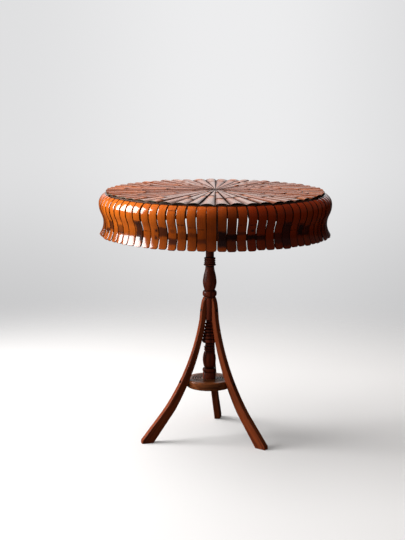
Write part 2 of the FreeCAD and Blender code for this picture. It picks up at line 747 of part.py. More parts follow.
def main():
    pieces = [
        make_top_board(),
        make_top_slats(),
        make_skirt_strips(),
        make_waist_hoop(),
        make_top_cleat(),
        make_post_block(),
        make_centre_post(),
        make_stretcher_disc(),
        *[make_leg(index, name) for index, name in enumerate(LEG_NAMES)],
        make_leg_screws(),
    ]
    doc.recompute()
    for piece in pieces:
        check(piece)
    os.makedirs("parts", exist_ok=True)
    for piece in pieces:
        piece.Shape.exportStep(f"parts/{piece.Label}.step")
        print(piece.Label, len(piece.Shape.Solids), "solids", round(piece.Shape.Volume), "mm3")


main()
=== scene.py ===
import math
import random

import bmesh
import bpy
from mathutils import Matrix, Vector


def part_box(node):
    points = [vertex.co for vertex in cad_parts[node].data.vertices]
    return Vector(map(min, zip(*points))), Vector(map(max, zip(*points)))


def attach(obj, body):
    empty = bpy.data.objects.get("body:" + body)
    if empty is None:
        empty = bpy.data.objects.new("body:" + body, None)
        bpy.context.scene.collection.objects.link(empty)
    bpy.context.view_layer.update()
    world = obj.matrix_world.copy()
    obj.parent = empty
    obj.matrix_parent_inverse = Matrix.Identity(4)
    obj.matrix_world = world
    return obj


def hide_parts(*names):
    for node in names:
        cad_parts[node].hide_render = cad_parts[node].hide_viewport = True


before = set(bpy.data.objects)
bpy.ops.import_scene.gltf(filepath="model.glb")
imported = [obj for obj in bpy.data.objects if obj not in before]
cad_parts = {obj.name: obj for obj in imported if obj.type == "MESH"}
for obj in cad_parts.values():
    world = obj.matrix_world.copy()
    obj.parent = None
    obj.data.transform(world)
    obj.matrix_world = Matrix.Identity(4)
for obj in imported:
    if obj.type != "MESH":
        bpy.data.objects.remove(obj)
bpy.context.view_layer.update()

# Accent table with a split-bamboo top and skirt on a turned tripod stand, in metres, +Z up.
# The origin is on the floor under the middle of the top.

MM = 0.001

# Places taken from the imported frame
board_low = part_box("top_board")[0]
slat_low, slat_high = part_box("top_slats")
strip_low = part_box("skirt_strips")[0]
block_low, block_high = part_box("post_block")
disc_low, disc_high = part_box("stretcher_disc")

# Slats of the top
SLAT_COUNT = 52
SLAT_REACH = 308.3 * MM
SLAT_POINT = 9 * MM
HUB_SHIFT = 16 * MM
SLAT_GAP = 1.3 * MM
SLAT_WALL = 2.4 * MM
SLAT_EASE = 1.3 * MM
SLAT_STEPS = 26
SLAT_ACROSS_STEPS = 10
SLAT_SPREAD = math.radians(3)
CULM_RADIUS = 42 * MM
CROWN = slat_high.z
BOARD_TOP = slat_low.z

# Nodes of the slats: distances are in millimetres beyond the node
NODE_RISE = 1.9
NODE_REACH = 9
NODE_LIP = 0.8
NODE_RING_RISE = 0.5
NODE_RING_AT = 3
NODE_RING_REACH = 2.5
NODE_GROOVE_DEPTH = 0.3
NODE_GROOVE_AT = 1.3
NODE_GROOVE_REACH = 1.3
NODE_WARM_AT = 4
NODE_WARM_REACH = 38
NODE_SINK = 1.0
NODE_STATIONS = (-9, -5, -2.5, -1, 0, 0.8, 1.6, 2.6, 4, 9, 20)

# Strips of the skirt
STRIP_COUNT = 76
STRIP_WIDTH = 24.2 * MM
STRIP_THICKNESS = 3.5 * MM
STRIP_CORNER = 7 * MM
STRIP_ROUND = 90 * MM
STRIP_STEPS = 34
CORNER_TURNS = (20, 40, 58, 74, 85, 90)
BENT_LENGTH = 20 * MM
SPREAD_FROM = 70 * MM
SPREAD_LENGTH = 50 * MM
SPREAD_SHARE = 0.035
SKIRT_ANGLE = math.radians(-1.6)
BULGE_RADIUS = 328 * MM
BULGE_CURVE = 31 * MM
BEND_ANGLE = math.radians(72)
BULGE_HEIGHT = BOARD_TOP - BULGE_CURVE
WAIST_INSET = 13 * MM
WAIST_DROP = 53 * MM
WAIST_RADIUS = BULGE_RADIUS - WAIST_INSET
WAIST_HEIGHT = BULGE_HEIGHT - WAIST_DROP
FLARE_OUT = 11 * MM
FLARE_DROP = WAIST_HEIGHT - strip_low.z

# Turned post, from the board down
POST_AXIS = Vector(((block_low.x + block_high.x) / 2, 0, 0))
NECK_RADIUS = 11.8 * MM
COLLAR_RADIUS = 16.3 * MM
COLLAR_FOOT_RADIUS = 17.5 * MM
COLLAR_RINGS = 4
COLLAR_RING_HEIGHT = 6.1 * MM
RING_GROOVE = 1.8 * MM
RING_DEPTH = 2.2 * MM
VASE_TOP_RADIUS = 12.4 * MM
VASE_RADIUS = 19.7 * MM
VASE_FOOT_RADIUS = 14.8 * MM
VASE_LENGTH = 71.5 * MM
VASE_SWELL = 23 * MM
BEAD_RADIUS = 20.4 * MM
BEAD_HEIGHT = 18 * MM
JOINT_RADIUS = 16.6 * MM
JOINT_LENGTH = 66 * MM
CONE_TOP_RADIUS = 10.2 * MM
CONE_FOOT_RADIUS = 19.8 * MM
CONE_RINGS = 6
CONE_LENGTH = 56 * MM
LIP_RADIUS = 21.3 * MM
LIP_HEIGHT = 12 * MM
POST_WAIST_RADIUS = 12.2 * MM
POST_WAIST_HEIGHT = 10.5 * MM
PAIR_RADIUS = 15.4 * MM
PAIR_HEIGHT = 13 * MM
PAIR_DEPTH = 2.4 * MM
LOWER_VASE_RADIUS = 18.9 * MM
LOWER_VASE_END_RADIUS = 13.2 * MM
LOWER_VASE_LENGTH = 51.8 * MM
FOOT_RING_RADIUS = 19.4 * MM
FOOT_RING_HEIGHT = 11 * MM
FOOT_RADIUS = 18.3 * MM
FOOT_HEIGHT = 19.2 * MM
DISC_TOP = disc_high.z
DISC_BOTTOM = disc_low.z
DISC_RADIUS = 66 * MM
DISC_FLAT = 65.5 * MM
DISC_EDGE = 4 * MM
DISC_CHAMFER = 2 * MM
DISC_BORE = 9.1 * MM
TENON_RADIUS = 9 * MM
GROOVE_RADII = [47 * MM, 40 * MM, 33 * MM, 26 * MM]
GROOVE_HALF_WIDTH = 1.9 * MM
GROOVE_DEPTH = 2.5 * MM
GROOVED_RADIUS = 50 * MM

# Painted shade in the hollows of the turned wood, on its neck and on the disc's grooved top
HOLLOW_REACH = 3.2 * MM
HOLLOW_DEPTH = 2.6 * MM
NECK_SHADE = 0.25
GROOVED_SHADE = 0.45
GROOVED_DEPTH = 2 * MM

# Heights of the post's forms, from the disc up
FOOT_RING_BOTTOM = DISC_TOP + FOOT_HEIGHT
FOOT_RING_TOP = FOOT_RING_BOTTOM + FOOT_RING_HEIGHT
PAIR_BOTTOM = FOOT_RING_TOP + LOWER_VASE_LENGTH
PAIR_TOP = PAIR_BOTTOM + PAIR_HEIGHT
LIP_BOTTOM = PAIR_TOP + POST_WAIST_HEIGHT
CONE_BOTTOM = LIP_BOTTOM + LIP_HEIGHT
JOINT_BOTTOM = CONE_BOTTOM + CONE_LENGTH
JOINT_TOP = JOINT_BOTTOM + JOINT_LENGTH
BEAD_TOP = JOINT_TOP + BEAD_HEIGHT
COLLAR_BOTTOM = BEAD_TOP + VASE_LENGTH
COLLAR_TOP = COLLAR_BOTTOM + COLLAR_RINGS * COLLAR_RING_HEIGHT

# Legs
LEG_ANGLES = {"back_leg": 81.9, "left_leg": 201.9, "right_leg": 321.9}
LEG_WIDTH = 17 * MM
LEG_DEPTH = 14.5 * MM
LEG_TOP_DEPTH = 4.6 * MM
LEG_SEAT = 14 * MM
LEG_FULLNESS = 2.4 * MM
LEG_FACE = LEG_SEAT + LEG_DEPTH
LEG_TOP = JOINT_TOP - 1 * MM
LEG_SHOULDER = LEG_TOP - LEG_TOP_DEPTH
LEG_OUTER_CURVE = 615 * MM
LEG_INNER_CURVE = 700 * MM
FOOT_REACH = 206 * MM
HEEL_REACH = FOOT_REACH - 33.7 * MM
TOE_HEIGHT = 8.8 * MM
TOE_ROUND = 4 * MM
ANKLE_HEIGHT = 0.2535 * JOINT_BOTTOM
ANKLE_OUTER = LEG_FACE + 0.631 * (FOOT_REACH - LEG_FACE)
ANKLE_INNER = LEG_SEAT + 0.593 * (HEEL_REACH - LEG_SEAT)
LEG_SCREW_HEIGHT = JOINT_TOP - 38.1 * MM
DISC_SCREW_HEIGHT = DISC_TOP - 4.1 * MM
DISC_SCREW_SEAT = 84 * MM
LEG_EASE = 1.8 * MM
LEG_HEEL_SHARES = (0.125, 0.25, 0.375, 0.5, 0.625, 0.75, 0.85, 0.92, 0.94, 0.96, 0.975, 0.99, 1)
SCREW_HEAD_RADIUS = 4 * MM
SCREW_SHANK_RADIUS = 2 * MM
SCREW_DOME = 1.8 * MM
SCREW_SLOT_DEPTH = 0.9 * MM
SCREW_SLOT_HALF_WIDTH = 0.7 * MM
LEG_SCREW_LENGTH = 18 * MM
LEG_SCREW_RIM = 0.8 * MM + LEG_FULLNESS
DISC_SCREW_LENGTH = 36 * MM
DISC_SCREW_RIM = 6.6 * MM
LEG_TAPER = (LEG_DEPTH - LEG_TOP_DEPTH) / (LEG_SHOULDER - JOINT_BOTTOM)
LEG_SCREW_SEAT = LEG_FACE - LEG_TAPER * (LEG_SCREW_HEIGHT + SCREW_HEAD_RADIUS - JOINT_BOTTOM)

# Floor, lamps and camera
FLOOR_RADIUS = 3.2
FLOOR_FADE = (0.8, 2.2)
FLOOR_GLOW = 0.25
WINDOW = ((-2.35, 0, 1.55), (0, -0.1, 0.65), 1.5, 1.7, 108)
CEILING = ((-0.85, 0.2, 2.8), (0, 0, 0.3), 2.5, 2.5, 58)
CAMERA_PLACE = (0, -3.5670, 1.11955)
CAMERA_YAW, CAMERA_PITCH, CAMERA_ROLL = -0.0099, 0.1748, 0.0043
CAMERA_LENS = 84.91
CAMERA_SENSOR = 36

UP = Vector((0, 0, 1))


# Points and curves

def direction(angle):
    """Level unit vector at an angle seen from above."""
    return Vector((math.cos(angle), math.sin(angle), 0))


def unit(value):
    """A value held between 0 and 1."""
    return min(1, max(0, value))


def bell(distance, middle, reach):
    """A smooth hump: 1 in the middle, nearly 0 beyond its reach."""
    return math.exp(-((distance - middle) / reach) ** 2)


def arc(across, up, radius, start, end, steps):
    """Points of an arc in a side view, angles in radians."""
    turns = [start + (end - start) * step / steps for step in range(steps + 1)]
    return [(across + radius * math.cos(turn), up + radius * math.sin(turn)) for turn in turns]


def smooth_curve(points, steps):
    """A Catmull-Rom curve through points of a side view."""
    padded = [points[0], *points, points[-1]]
    curve = []
    for index in range(1, len(padded) - 2):
        p0, p1, p2, p3 = (Vector(padded[index + offset]) for offset in (-1, 0, 1, 2))
        for step in range(steps):
            t = step / steps
            bend = (2 * p0 - 5 * p1 + 4 * p2 - p3) * t**2
            twist = (3 * p1 - p0 - 3 * p2 + p3) * t**3
            curve.append(0.5 * ((2 * p1) + (p2 - p0) * t + bend + twist))
    curve.append(Vector(points[-1]))
    return [(point.x, point.y) for point in curve]


# Meshes

class Builder:
    """Collects vertices, faces and the values that the materials read at each vertex."""

    def __init__(self):
        self.points = []
        self.faces = []
        self.flow = []
        self.values = {}

    def add(self, point, flow, **values):
        """Add a vertex with its place in the grain and give its number."""
        self.points.append(tuple(point))
        self.flow.append(tuple(flow))
        for name, value in values.items():
            self.values.setdefault(name, []).append(value)
        return len(self.points) - 1

    def skin(self, rings, cap_start=True, cap_end=True):
        """Join closed rings of equal length into a tube."""
        count = len(rings[0])
        for lower, upper in zip(rings, rings[1:]):
            for index in range(count):
                following = (index + 1) % count
                self.faces.append((lower[index], lower[following], upper[following], upper[index]))
        if cap_start:
            self.faces.append(tuple(reversed(rings[0])))
        if cap_end:
            self.faces.append(tuple(rings[-1]))

    def piece(self, name, material, node, slot, sharp_angle=40):
        """Make the object, let it stand for its node and ride on the table."""
        mesh = bpy.data.meshes.new(name)
        mesh.from_pydata(self.points, [], self.faces)
        attribute = mesh.attributes.new("flow", "FLOAT_VECTOR", "POINT")
        attribute.data.foreach_set("vector", [number for flow in self.flow for number in flow])
        for key, numbers in self.values.items():
            attribute = mesh.attributes.new(key, "FLOAT", "POINT")
            attribute.data.foreach_set("value", numbers)
        work = bmesh.new()
        work.from_mesh(mesh)
        bmesh.ops.recalc_face_normals(work, faces=work.faces)
        for edge in work.edges:
            if len(edge.link_faces) == 2:
                edge.smooth = edge.calc_face_angle(0) < math.radians(sharp_angle)
        for face in work.faces:
            face.smooth = True
        work.to_mesh(mesh)
        work.free()
        mesh.materials.append(material)
        piece = bpy.data.objects.new(name, mesh)
        bpy.context.scene.collection.objects.link(piece)
        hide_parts(node)
        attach(piece, "root")
        return piece


# Materials

class Graph:
    """Short names for the nodes of a material."""

    def __init__(self, name):
        self.material = bpy.data.materials.new(name)
        self.material.use_nodes = True
        self.nodes = self.material.node_tree.nodes
        self.links = self.material.node_tree.links
        self.shader = self.nodes["Principled BSDF"]

    def put(self, socket, value):
        if isinstance(value, bpy.types.NodeSocket):
            self.links.new(value, socket)
        elif value is not None:
            socket.default_value = value

    def attribute(self, name, output="Fac"):
        node = self.nodes.new("ShaderNodeAttribute")
        node.attribute_name = name
        return node.outputs[output]

    def place(self):
        return self.nodes.new("ShaderNodeTexCoord").outputs["Object"]

    def scaled(self, vector, scale):
        node = self.nodes.new("ShaderNodeMapping")
        self.put(node.inputs["Vector"], vector)
        node.inputs["Scale"].default_value = scale
        return node.outputs["Vector"]

    def noise(self, vector, scale=1.0, detail=3.0, rough=0.5, twist=0.0):
        node = self.nodes.new("ShaderNodeTexNoise")
        self.put(node.inputs["Vector"], vector)
        node.inputs["Scale"].default_value = scale
        node.inputs["Detail"].default_value = detail
        node.inputs["Roughness"].default_value = rough
        node.inputs["Distortion"].default_value = twist
        return node.outputs["Fac"]

    def math(self, kind, a, b=None):
        node = self.nodes.new("ShaderNodeMath")
        node.operation = kind
        self.put(node.inputs[0], a)
        self.put(node.inputs[1], b)
        return node.outputs[0]

    def remap(self, value, low, high, to_low=0.0, to_high=1.0):
        node = self.nodes.new("ShaderNodeMapRange")
        node.interpolation_type = "SMOOTHSTEP"
        self.put(node.inputs["Value"], value)
        node.inputs["From Min"].default_value = low
        node.inputs["From Max"].default_value = high
        node.inputs["To Min"].default_value = to_low
        node.inputs["To Max"].default_value = to_high
        return node.outputs["Result"]

    def mix(self, factor, a, b):
        node = self.nodes.new("ShaderNodeMix")
        node.data_type = "RGBA"
        self.put(node.inputs["Factor"], factor)
        for socket, value in ((node.inputs[6], a), (node.inputs[7], b)):
            self.put(socket, value if isinstance(value, bpy.types.NodeSocket) else shade(value))
        return node.outputs[2]

    def bump(self, height, strength, distance):
        node = self.nodes.new("ShaderNodeBump")
        node.inputs["Strength"].default_value = strength
        node.inputs["Distance"].default_value = distance
        self.put(node.inputs["Height"], height)
        return node.outputs["Normal"]

    def finish(self, colour, rough, normal=None, specular=0.5, coat=0.0, coat_rough=0.1):
        self.put(self.shader.inputs["Base Color"], colour)
        self.put(self.shader.inputs["Roughness"], rough)
        self.put(self.shader.inputs["Normal"], normal)
        self.shader.inputs["Specular IOR Level"].default_value = specular
        self.shader.inputs["Coat Weight"].default_value = coat
        self.shader.inputs["Coat Roughness"].default_value = coat_rough
        return self.material


def linear(level):
    """A display level from 0 to 255 as linear light."""
    share = level / 255
    return share / 12.92 if share <= 0.04045 else ((share + 0.055) / 1.055) ** 2.4


def shade(levels):
    """A display colour, red, green and blue from 0 to 255, as a linear colour."""
    return (*[linear(level) for level in levels], 1.0)


def toned(levels, share):
    """A display colour made lighter or darker."""
    return tuple(min(255, level * share) for level in levels)


def strip_bamboo():
    """Lacquered bamboo of the skirt: amber to red brown, with node lines and scorch marks; painted
    light on the left strips, and painted shade on the right ones, lower down, along the edges and
    under the slats.
    """
    g = Graph("strip_bamboo")
    flow = g.attribute("flow", "Vector")
    down = g.attribute("length_down")
    fibre = g.noise(g.scaled(flow, (900, 900, 9)), detail=4, rough=0.6)
    cloud = g.noise(g.scaled(flow, (60, 60, 22)), detail=3)
    blotch = g.noise(g.scaled(flow, (140, 140, 70)), detail=2)
    # Amber to red brown: random tone, with painted light on the left strips and painted shade on
    # the right ones.
    colour = g.mix(g.attribute("tone"), (222, 112, 30), (158, 48, 7))
    colour = g.mix(g.remap(fibre, 0.42, 0.7, 0, 0.35), colour, (104, 32, 8))
    colour = g.mix(g.remap(cloud, 0.5, 0.8, 0, 0.5), colour, (112, 36, 10))
    colour = g.mix(g.remap(blotch, 0.64, 0.78, 0, 0.25), colour, (196, 92, 24))
    # Painted light and shade down each strip: the strip's darkness is weaker near its upper end,
    # painted lighter where the light falls from above, and from 60 mm down the strip is painted
    # darker as shade.
    lower = g.math("MULTIPLY", g.attribute("shade"), g.remap(down, 0.02, 0.07, 0.6, 1))
    lower = g.math("MAXIMUM", lower, g.remap(down, 0.06, 0.105, 0, 0.55))
    colour = g.mix(lower, colour, (62, 18, 3))
    wave = g.noise(g.scaled(flow, (160, 160, 10)), detail=1)
    wave = g.math("MULTIPLY", g.math("SUBTRACT", wave, 0.5), 0.004)
    to_node = g.math("ABSOLUTE", g.math("SUBTRACT", down, g.attribute("node_at")))
    line = g.remap(g.math("ADD", to_node, wave), 0.0003, 0.0013, 1, 0)
    ragged = g.noise(g.scaled(flow, (90, 90, 60)), detail=3)
    ragged = g.math("MULTIPLY", g.math("SUBTRACT", ragged, 0.5), 0.012)
    burnt = None
    for patch in ("first", "second"):
        gap = g.math("ADD", g.attribute(f"{patch}_gap"), ragged)
        dark = g.math("MULTIPLY", g.remap(gap, -0.004, 0.004, 1, 0), g.attribute(f"{patch}_dark"))
        burnt = dark if burnt is None else g.math("MAXIMUM", burnt, dark)
    colour = g.mix(g.math("MULTIPLY", burnt, 0.95), colour, (36, 21, 21))
    colour = g.mix(g.math("MULTIPLY", line, 0.8), colour, (34, 11, 6))
    # Painted shade along the long edges of each strip, in the gaps between strips.
    colour = g.mix(g.remap(g.attribute("edge"), 0.82, 0.98, 0, 0.85), colour, (30, 9, 4))
    # Painted shadow on the first few millimetres of each strip, under the ends of the slats.
    colour = g.mix(g.remap(down, 0.003, 0.0055, 0.9, 0), colour, (16, 8, 6))
    height = g.math("ADD", fibre, g.math("MULTIPLY", line, 2.0))
    rough = g.remap(cloud, 0.3, 0.8, 0.14, 0.22)
    normal = g.bump(height, 0.04, 0.0002)
    return g.finish(colour, rough, normal, specular=0.3, coat=0.8, coat_rough=0.07)


def slat_bamboo():
    """Split bamboo of the top: worn pinkish brown, satin, darker at nodes, with painted shade at
    its seams, edges and underside, a painted sheen of pale grey at the front and back, and cut ends
    painted lit on the window side and dark elsewhere.
    """
    g = Graph("slat_bamboo")
    flow = g.attribute("flow", "Vector")
    fibre = g.noise(g.scaled(flow, (700, 700, 7)), detail=4, rough=0.6)
    cloud = g.noise(g.scaled(flow, (70, 70, 5)), detail=3)
    wear = g.noise(g.scaled(flow, (120, 120, 30)), detail=4, rough=0.65)
    # Red brown to pale grey: random tone, and a painted sheen on the front and back slats.
    colour = g.mix(g.attribute("tone"), (158, 78, 32), (168, 138, 126))
    colour = g.mix(g.remap(fibre, 0.42, 0.7, 0, 0.25), colour, (92, 50, 30))
    colour = g.mix(g.remap(cloud, 0.45, 0.75, 0, 0.35), colour, (172, 90, 36))
    colour = g.mix(g.remap(wear, 0.62, 0.78, 0, 0.2), colour, (164, 124, 100))
    colour = g.mix(g.math("MULTIPLY", g.attribute("glow"), 0.7), colour, (204, 110, 46))
    colour = g.mix(g.math("MULTIPLY", g.attribute("node"), 0.9), colour, (36, 18, 12))
    # Painted shade: a wide darker band towards both long edges of each slat, and a near-black line
    # in the seams between slats.
    colour = g.mix(g.remap(g.attribute("edge"), 0.35, 0.85, 0, 0.75), colour, (84, 38, 18))
    rim = g.remap(g.attribute("edge"), 0.86, 0.99)
    colour = g.mix(g.math("MULTIPLY", rim, 0.95), colour, (24, 12, 8))
    # Colour of the cut ends: painted light on the window side, painted shade elsewhere.
    end_painted_light_and_shade = g.mix(g.attribute("pale"), (22, 15, 11), (136, 130, 112))
    colour = g.mix(g.attribute("end"), colour, end_painted_light_and_shade)
    # Painted shade on the undersides of the slats.
    colour = g.mix(g.attribute("under"), colour, (14, 9, 7))
    rough = g.math("ADD", g.remap(wear, 0.3, 0.8, 0.26, 0.36), g.math("MULTIPLY", rim, 0.5))
    return g.finish(colour, rough, g.bump(fibre, 0.05, 0.0004))


def turned_wood(name, light, dark, gloss):
    """Stained hardwood with long dark pores along its flow, and painted shade where the hollow
    value is set: in grooves, on the post's neck and on the disc's top round the post.
    """
    g = Graph(name)
    flow = g.attribute("flow", "Vector")
    pores = g.noise(g.scaled(flow, (900, 900, 30)), detail=4, rough=0.65)
    bands = g.noise(g.scaled(flow, (110, 110, 5)), detail=3, twist=0.4)
    wear = g.noise(g.scaled(flow, (60, 60, 40)), detail=3)
    colour = g.mix(g.remap(bands, 0.35, 0.7), light, dark)
    colour = g.mix(g.remap(pores, 0.52, 0.72, 0, 0.6), colour, toned(dark, 0.45))
    colour = g.mix(g.remap(wear, 0.6, 0.8, 0, 0.3), colour, toned(light, 1.25))
    # Painted shade in hollows, grooves and under the board.
    colour = g.mix(g.math("MULTIPLY", g.attribute("hollow"), 0.85), colour, toned(dark, 0.25))
    rough = g.remap(wear, 0.3, 0.8, gloss, gloss + 0.12)
    normal = g.bump(pores, 0.1, 0.0003)
    return g.finish(colour, rough, normal, specular=0.15, coat=0.03, coat_rough=0.16)


def hidden_wood(name, light, dark, scale):
    """Plain wood or bamboo of the parts under the top; its grain follows the smallest scale."""
    g = Graph(name)
    place = g.place()
    pores = g.noise(g.scaled(place, scale), detail=4, rough=0.6)
    bands = g.noise(g.scaled(place, tuple(number / 9 for number in scale)), detail=3, twist=0.6)
    dust = g.noise(place, 9, detail=4)
    colour = g.mix(g.remap(bands, 0.35, 0.7), light, dark)
    colour = g.mix(g.remap(pores, 0.5, 0.72, 0, 0.55), colour, toned(dark, 0.55))
    colour = g.mix(g.remap(dust, 0.5, 0.8, 0, 0.25), colour, (128, 108, 90))
    rough = g.remap(dust, 0.3, 0.8, 0.55, 0.75)
    return g.finish(colour, rough, g.bump(pores, 0.3, 0.0005))


def screw_metal():
    """Dark oxidised steel."""
    g = Graph("screw_metal")
    stain = g.noise(g.place(), 700, detail=4)
    colour = g.mix(g.remap(stain, 0.35, 0.7), (52, 46, 42), (30, 22, 18))
    g.shader.inputs["Metallic"].default_value = 0.85
    return g.finish(colour, g.remap(stain, 0.3, 0.7, 0.4, 0.6), g.bump(stain, 0.2, 0.0002))


# Top

def slat_seams():
    """Directions of the seams between slats, wider apart in front, each a little uneven."""
    chance = random.Random(11)
    pitch = 2 * math.pi / SLAT_COUNT
    front = -math.pi / 2
    seams = []
    for index in range(SLAT_COUNT):
        even = front + index * pitch
        uneven = 0 if index == 0 else chance.uniform(-0.11, 0.11) * pitch
        seams.append(even + SLAT_SPREAD * math.sin(even - front) + uneven)
    return seams


def node_form(beyond):
    """Rise, groove and warm colour of the bamboo, millimetres beyond a node."""
    if beyond <= 0:
        rise = NODE_RISE * bell(beyond, 0, NODE_REACH)
    else:
        rise = NODE_RISE * max(0, 1 - beyond / NODE_LIP)
        rise += NODE_RING_RISE * bell(beyond, NODE_RING_AT, NODE_RING_REACH)
    groove = bell(beyond, NODE_GROOVE_AT, NODE_GROOVE_REACH)
    warm = bell(beyond, NODE_WARM_AT, NODE_WARM_REACH) if beyond > 1 else 0.0
    return rise, groove, warm


def slat_stations(reach, nodes):
    """Places along a slat where its section is made, closer together at its nodes."""
    stations = [
        SLAT_POINT + (reach - SLAT_POINT) * step / SLAT_STEPS for step in range(SLAT_STEPS + 1)
    ]
    for place in nodes:
        stations += [place + offset * MM for offset in NODE_STATIONS]
    stations.append(reach - 0.8 * MM)
    return sorted(set(station for station in stations if station <= reach))


def make_slats(material):
    """Tapered pieces of split bamboo with hollow undersides and node ridges."""
    chance = random.Random(23)
    build = Builder()
    seams = slat_seams()
    hub = Vector((0, HUB_SHIFT, 0))
    for index, start in enumerate(seams):
        end = seams[(index + 1) % SLAT_COUNT] + (2 * math.pi if index == SLAT_COUNT - 1 else 0)
        middle, half_angle = (start + end) / 2, (end - start) / 2
        out, side = direction(middle), direction(middle + math.pi / 2)
        reach = SLAT_REACH - chance.uniform(0, 5) * MM
        slant = chance.uniform(-2.5, 2.5) * MM
        lift = -chance.uniform(0, 1.5) * MM
        lean = chance.uniform(-1.1, 1.1) * MM
        # Cut ends are painted lit on the left, the window side, and painted dark as shade at the
        # front and right.
        pale = unit(0.1 - 0.9 * math.cos(middle) + chance.uniform(-0.15, 0.15))
        # The pale grey mixed in by the tone value is partly random tone and partly a painted sheen,
        # strongest on the front slats and weaker on the back ones.
        across = math.sin(middle) ** 2 * (0.75 if math.sin(middle) < 0 else 0.4)
        tone = unit(0.12 + across + chance.uniform(-0.55, 0.55))
        nodes = [chance.uniform(0.4, 0.92) * reach]
        if chance.random() < 0.25:
            nodes.append(chance.uniform(0.3, 0.6) * nodes[0])
        warmth = chance.uniform(0.3, 1)
        stations = slat_stations(reach, nodes)
        rings = []
        for station in stations:
            half = max(station * math.tan(half_angle) - SLAT_GAP / 2, 0.3 * MM)
            forms = [node_form((station - place) / MM) for place in nodes]
            swell, groove, warm = (sum(values) for values in zip(*forms))
            height = CROWN + lift + (swell - NODE_GROOVE_DEPTH * groove - NODE_SINK) * MM
            top, under = [], []
            for step in range(SLAT_ACROSS_STEPS + 1):
                share = 2 * step / SLAT_ACROSS_STEPS - 1
                x = share * half
                round_drop = CULM_RADIUS - math.sqrt(CULM_RADIUS**2 - half**2)
                sink = 1.2 * round_drop * abs(share) ** 2.5
                corner = SLAT_EASE * max(0, abs(share) - 0.8) / 0.2 * min(1, half / (6 * MM))
                z = height - sink - corner + lean * share * min(1, station / reach)
                floor = max(BOARD_TOP, z - SLAT_WALL)
                along = station + slant * share * max(0, station / reach - 0.9) * 10
                top.append((x, max(z, BOARD_TOP + 0.3 * MM), along, abs(share)))
                under.append((x, min(floor, z), along, abs(share)))
            outer_end = 1.0 if station == stations[-1] else 0.0
            shift = hub * max(0, 1 - station / reach)
            ring = []
            around = [(spot, False) for spot in top] + [(spot, True) for spot in reversed(under)]
            for (x, z, along, share), below in around:
                ring.append(
                    build.add(
                        out * along + side * x + UP * z + shift,
                        (x, z, along + index),
                        tone=tone,
                        pale=pale,
                        edge=1.0 if below else share,
                        node=0.0 if below else min(1, groove),
                        glow=0.0 if below else min(1, warmth * warm),
                        end=0.0 if below else outer_end,
                        under=1.0 if below else 0.0,
                    )
                )
            rings.append(ring)
        build.skin(rings)
    return build.piece("slats", material, "top_slats", "slat_bamboo", sharp_angle=50)


# Skirt

def strip_path(flare_more):
    """Outer face of a strip in side view, from the upper end down."""
    flare_out = FLARE_OUT + flare_more
    flare_curve = (FLARE_DROP**2 + flare_out**2) / (2 * flare_out)
    flare_angle = 2 * math.atan(flare_out / FLARE_DROP)
    draw_angle = 2 * math.atan(WAIST_INSET / WAIST_DROP)
    draw_curve = WAIST_DROP / math.sin(draw_angle) - flare_curve
    points = arc(BULGE_RADIUS - BULGE_CURVE, BULGE_HEIGHT, BULGE_CURVE, BEND_ANGLE, 0, 12)
    points += arc(BULGE_RADIUS - draw_curve, BULGE_HEIGHT, draw_curve, 0, -draw_angle, 8)[1:]
    turns = math.pi - draw_angle, math.pi + flare_angle
    points += arc(WAIST_RADIUS + flare_curve, WAIST_HEIGHT, flare_curve, *turns, 16)[1:]
    return points


def resample(points, lengths):
    """Points and tangents at given lengths along a line of points."""
    marks = [0.0]
    for a, b in zip(points, points[1:]):
        marks.append(marks[-1] + math.dist(a, b))
    found = []
    for length in lengths:
        index = max(i for i, mark in enumerate(marks[:-1]) if mark <= max(length, 0))
        a, b = Vector(points[index]), Vector(points[index + 1])
        share = (length - marks[index]) / (marks[index + 1] - marks[index])
        found.append((a + (b - a) * share, (b - a).normalized()))
    return found, marks[-1]


# Marks seen on the front strips, which are counted from the front one to the right. Each dark patch
# has its place down the strip, half length, depth of colour, place across and half width.
SCORCHED = {
    # The patches of strips -13 and -11 only darken those strips across their width near the waist.
    -13: [(0.085, 0.012, 0.8, 0, 0.02)],
    -11: [(0.090, 0.012, 0.6, 0, 0.02)],
    -8: [(0.086, 0.028, 0.95, 0.001, 0.011)],
    -6: [(0.0805, 0.004, 1.0, 0.005, 0.004), (0.099, 0.004, 1.0, 0.004, 0.004)],
    -5: [(0.083, 0.013, 0.85, 0, 0.02)],
    -4: [(0.080, 0.005, 0.5, 0.002, 0.006), (0.107, 0.008, 0.85, 0, 0.012)],
    -3: [(0.090, 0.010, 0.35, 0.002, 0.010)],
    -2: [(0.088, 0.006, 0.5, 0, 0.02)],
    -1: [(0.103, 0.006, 0.6, 0, 0.02)],
    1: [(0.097, 0.021, 1.0, 0.001, 0.012)],
    2: [(0.093, 0.008, 1.0, 0, 0.02)],
    4: [(0.0755, 0.003, 1.0, 0.002, 0.006), (0.093, 0.007, 1.0, 0, 0.02)],
    5: [(0.095, 0.007, 0.9, 0, 0.02)],
    7: [(0.100, 0.014, 0.7, 0, 0.02)],
    8: [(0.090, 0.033, 0.8, 0, 0.02)],
    10: [(0.084, 0.016, 1.0, 0, 0.011)],
    11: [(0.088, 0.013, 0.8, 0, 0.011)],
}
NO_PATCH = (-1.0, 0.0, 0.0, 0, 0.02)

# Place of the node line down the strip
NODE_LINES = {
    -8: 0.058, -4: 0.022, -3: 0.060, -2: 0.067, -1: 0.072, 3: 0.058, 8: 0.066, 10: 0.066,
}

# How much darker than its neighbours a strip is: partly its own tone, and partly painted shade, as
# most of these strips stand right of the front, away from the window.
DARKER = {
    -8: 0.25, 0: 0.3, 1: 0.45, 2: 0.8, 3: 0.4, 4: 0.3, 5: 0.45,
    6: 0.4, 7: 0.5, 8: 0.6, 9: 0.3, 10: 0.15, 11: 0.4,
}

# Width of a strip as a share of the usual width
WIDER = {0: 1.1, -1: 1.04}


